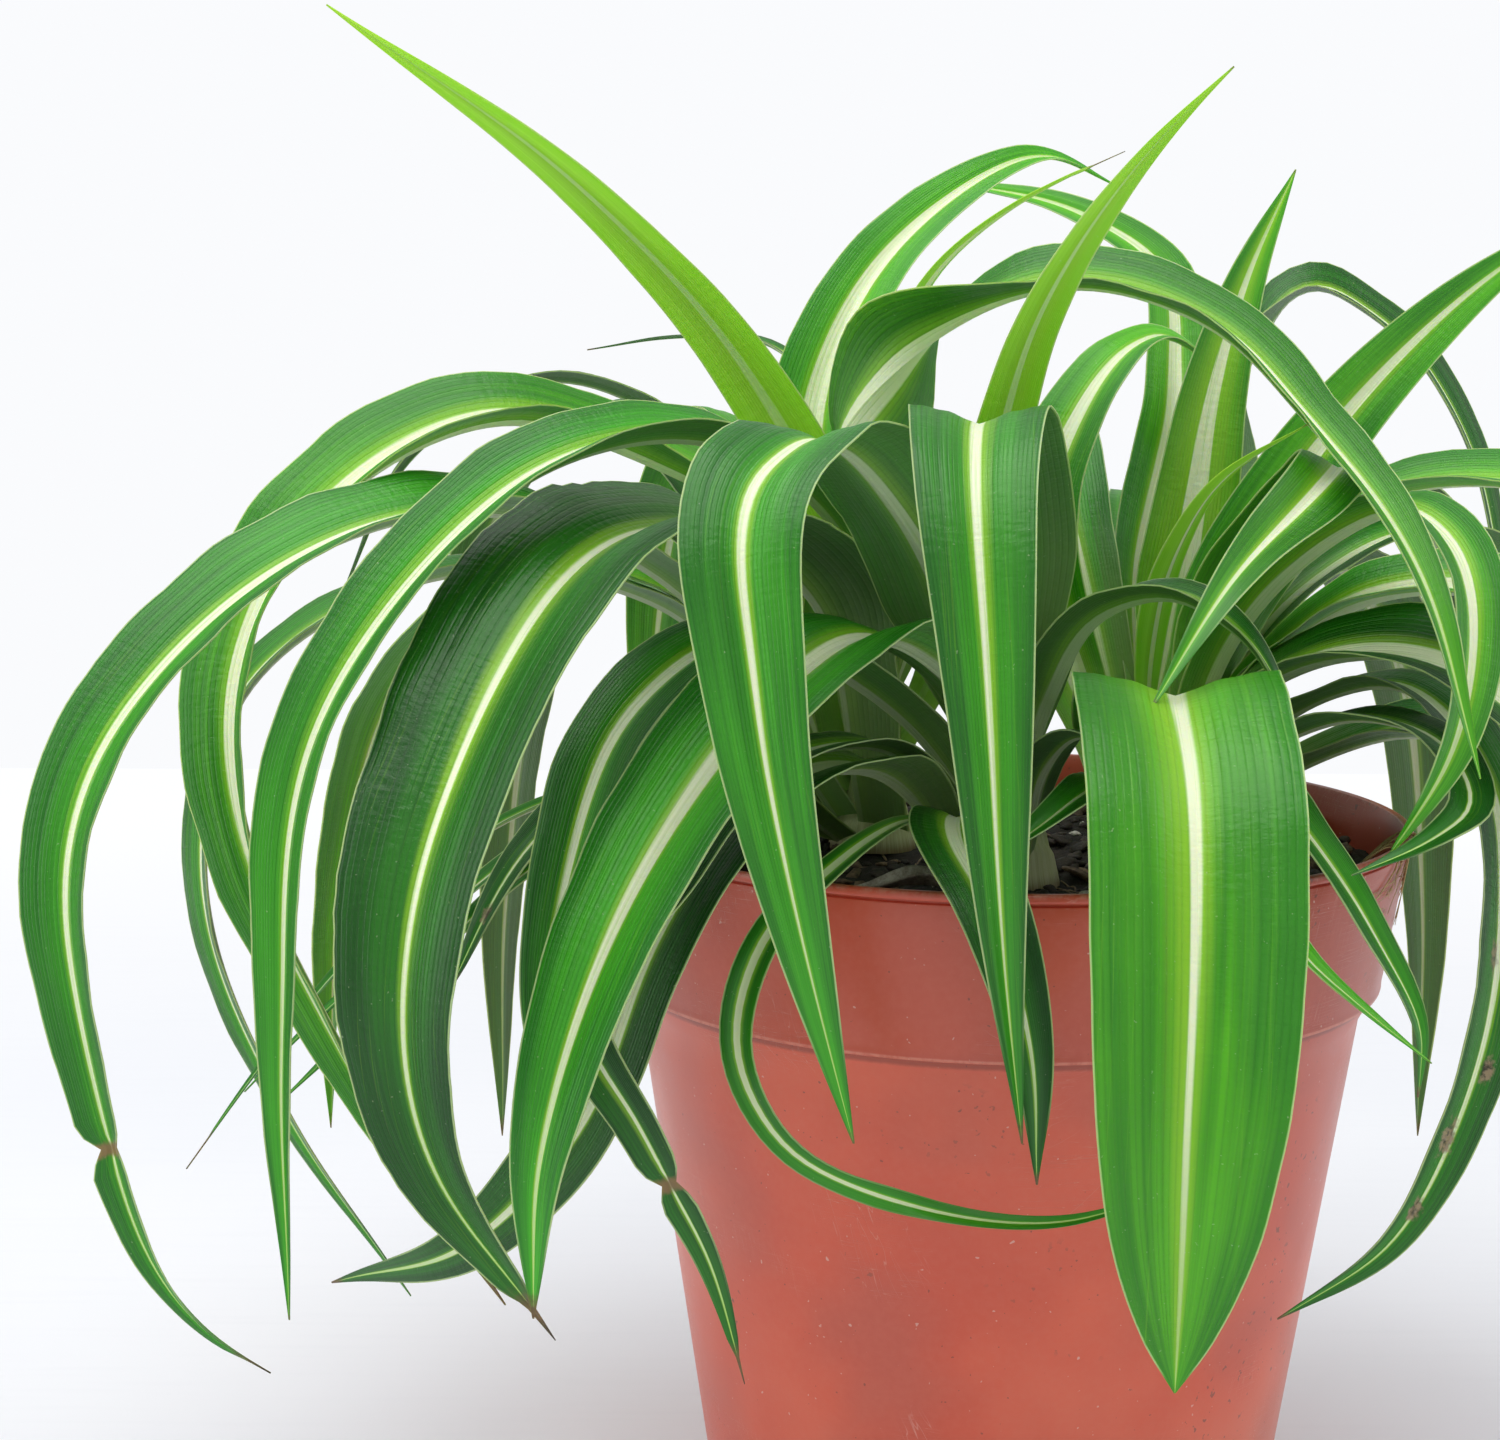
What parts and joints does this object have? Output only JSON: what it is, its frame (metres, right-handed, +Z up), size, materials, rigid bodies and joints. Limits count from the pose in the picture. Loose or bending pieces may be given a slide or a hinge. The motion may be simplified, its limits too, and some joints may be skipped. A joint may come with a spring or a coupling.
{
  "type": "potted spider plant",
  "caption": "Potted spider plant with white-striped arching leaves, in a terracotta-coloured plastic nursery pot.",
  "frame": {"origin": "centre of the pot's flat underside, on the surface it stands on", "axes": "+Z up, -Y towards the plant's front, +X to the right seen from the front"},
  "size_m": [0.2411, 0.2096, 0.222],
  "materials": {
    "pot_plastic": "satin moulded polypropylene, terracotta coloured",
    "potting_soil": "dark peat and wood-fibre mix",
    "crown_flesh": "pale green plant tissue",
    "leaf_young": "satin young leaf",
    "leaf_light": "satin light-green leaf",
    "leaf_mature": "satin mid-green leaf",
    "leaf_dark": "satin dark-green leaf"
  },
  "bodies": {
    "root": {"pot": "pot_plastic", "soil": "potting_soil", "crown_main": "crown_flesh", "crown_left": "crown_flesh", "crown_front": "crown_flesh", "leaf_back_1": "leaf_mature", "leaf_back_10": "leaf_mature", "leaf_back_2": "leaf_dark", "leaf_back_3": "leaf_light", "leaf_back_4": "leaf_mature", "leaf_back_5": "leaf_dark", "leaf_back_6": "leaf_light", "leaf_back_7": "leaf_mature", "leaf_back_8": "leaf_dark", "leaf_back_9": "leaf_light", "leaf_back_high_arch": "leaf_light", "leaf_back_left_reach": "leaf_light", "leaf_back_left_thin": "leaf_dark", "leaf_back_right_arch": "leaf_dark", "leaf_centre_arch": "leaf_light", "leaf_centre_cup": "leaf_dark", "leaf_centre_fold": "leaf_young", "leaf_front_fold_left": "leaf_mature", "leaf_front_fold_right": "leaf_mature", "leaf_front_left_arch": "leaf_mature", "leaf_front_left_hang": "leaf_dark", "leaf_front_left_second": "leaf_mature", "leaf_front_left_sweep": "leaf_dark", "leaf_front_right_broad": "leaf_light", "leaf_front_short": "leaf_dark", "leaf_front_thin_loop": "leaf_mature", "leaf_inner_cross": "leaf_dark", "leaf_inner_front": "leaf_mature", "leaf_left_broad": "leaf_dark", "leaf_left_far_arch": "leaf_mature", "leaf_left_high_arch": "leaf_light", "leaf_left_inner_arch": "leaf_dark", "leaf_left_low_hang": "leaf_mature", "leaf_left_slender": "leaf_mature", "leaf_left_thin_lower": "leaf_mature", "leaf_left_thin_middle": "leaf_mature", "leaf_left_thin_upper": "leaf_mature", "leaf_left_under": "leaf_dark", "leaf_main_small_spear": "leaf_young", "leaf_main_upright": "leaf_light", "leaf_right_curl": "leaf_light", "leaf_right_fold_back": "leaf_light", "leaf_right_hang": "leaf_dark", "leaf_right_low": "leaf_dark", "leaf_right_rim_lower": "leaf_light", "leaf_right_rim_turn": "leaf_dark", "leaf_right_rim_upper": "leaf_mature", "leaf_right_spear": "leaf_light", "leaf_right_stripe_lower": "leaf_dark", "leaf_right_stripe_upper": "leaf_light", "leaf_right_wide": "leaf_light", "leaf_top_left_spear": "leaf_young", "leaf_top_main_arch": "leaf_light", "leaf_top_right_spear": "leaf_young", "leaf_top_thin_spear": "leaf_young"}
  },
  "joints": []
}
